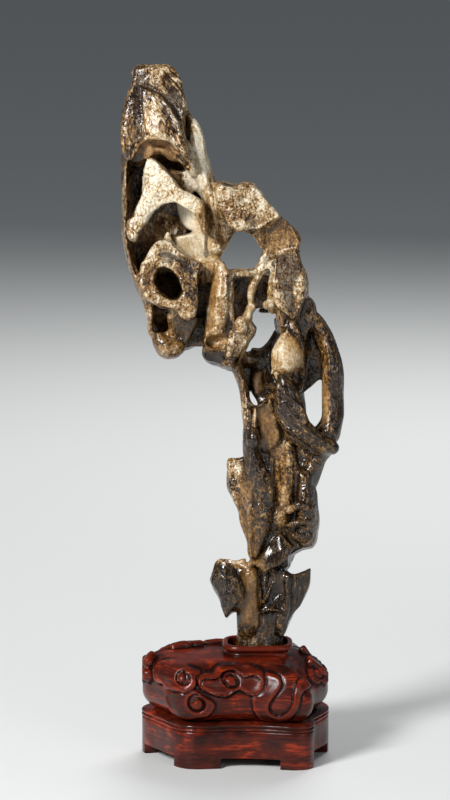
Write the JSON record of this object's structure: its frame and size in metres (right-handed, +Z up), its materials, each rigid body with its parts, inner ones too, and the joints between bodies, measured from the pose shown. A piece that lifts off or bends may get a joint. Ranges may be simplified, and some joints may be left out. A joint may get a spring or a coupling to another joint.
{
  "type": "scholar's rock on a carved wooden stand",
  "caption": "Tall pierced scholar's rock, leaning and hollowed, seated in a lobed cushion stand carved with cloud scrolls on a moulded footed base.",
  "frame": {"origin": "middle of the whole object's bounding box, at the height of the undersides of the feet", "axes": "+Z up, -Y towards the viewer who faces the carved front, +X to that viewer's right"},
  "size_m": [0.1768, 0.1332, 0.5497],
  "materials": {
    "rock": "polished weathered limestone, tan on top and blackened below",
    "stand_body": "carved rosewood, gloss lacquer",
    "stand_plinth": "rosewood, gloss lacquer"
  },
  "bodies": {
    "root": {"rock": "rock", "stand_body": "stand_body", "stand_plinth": "stand_plinth"}
  },
  "joints": []
}
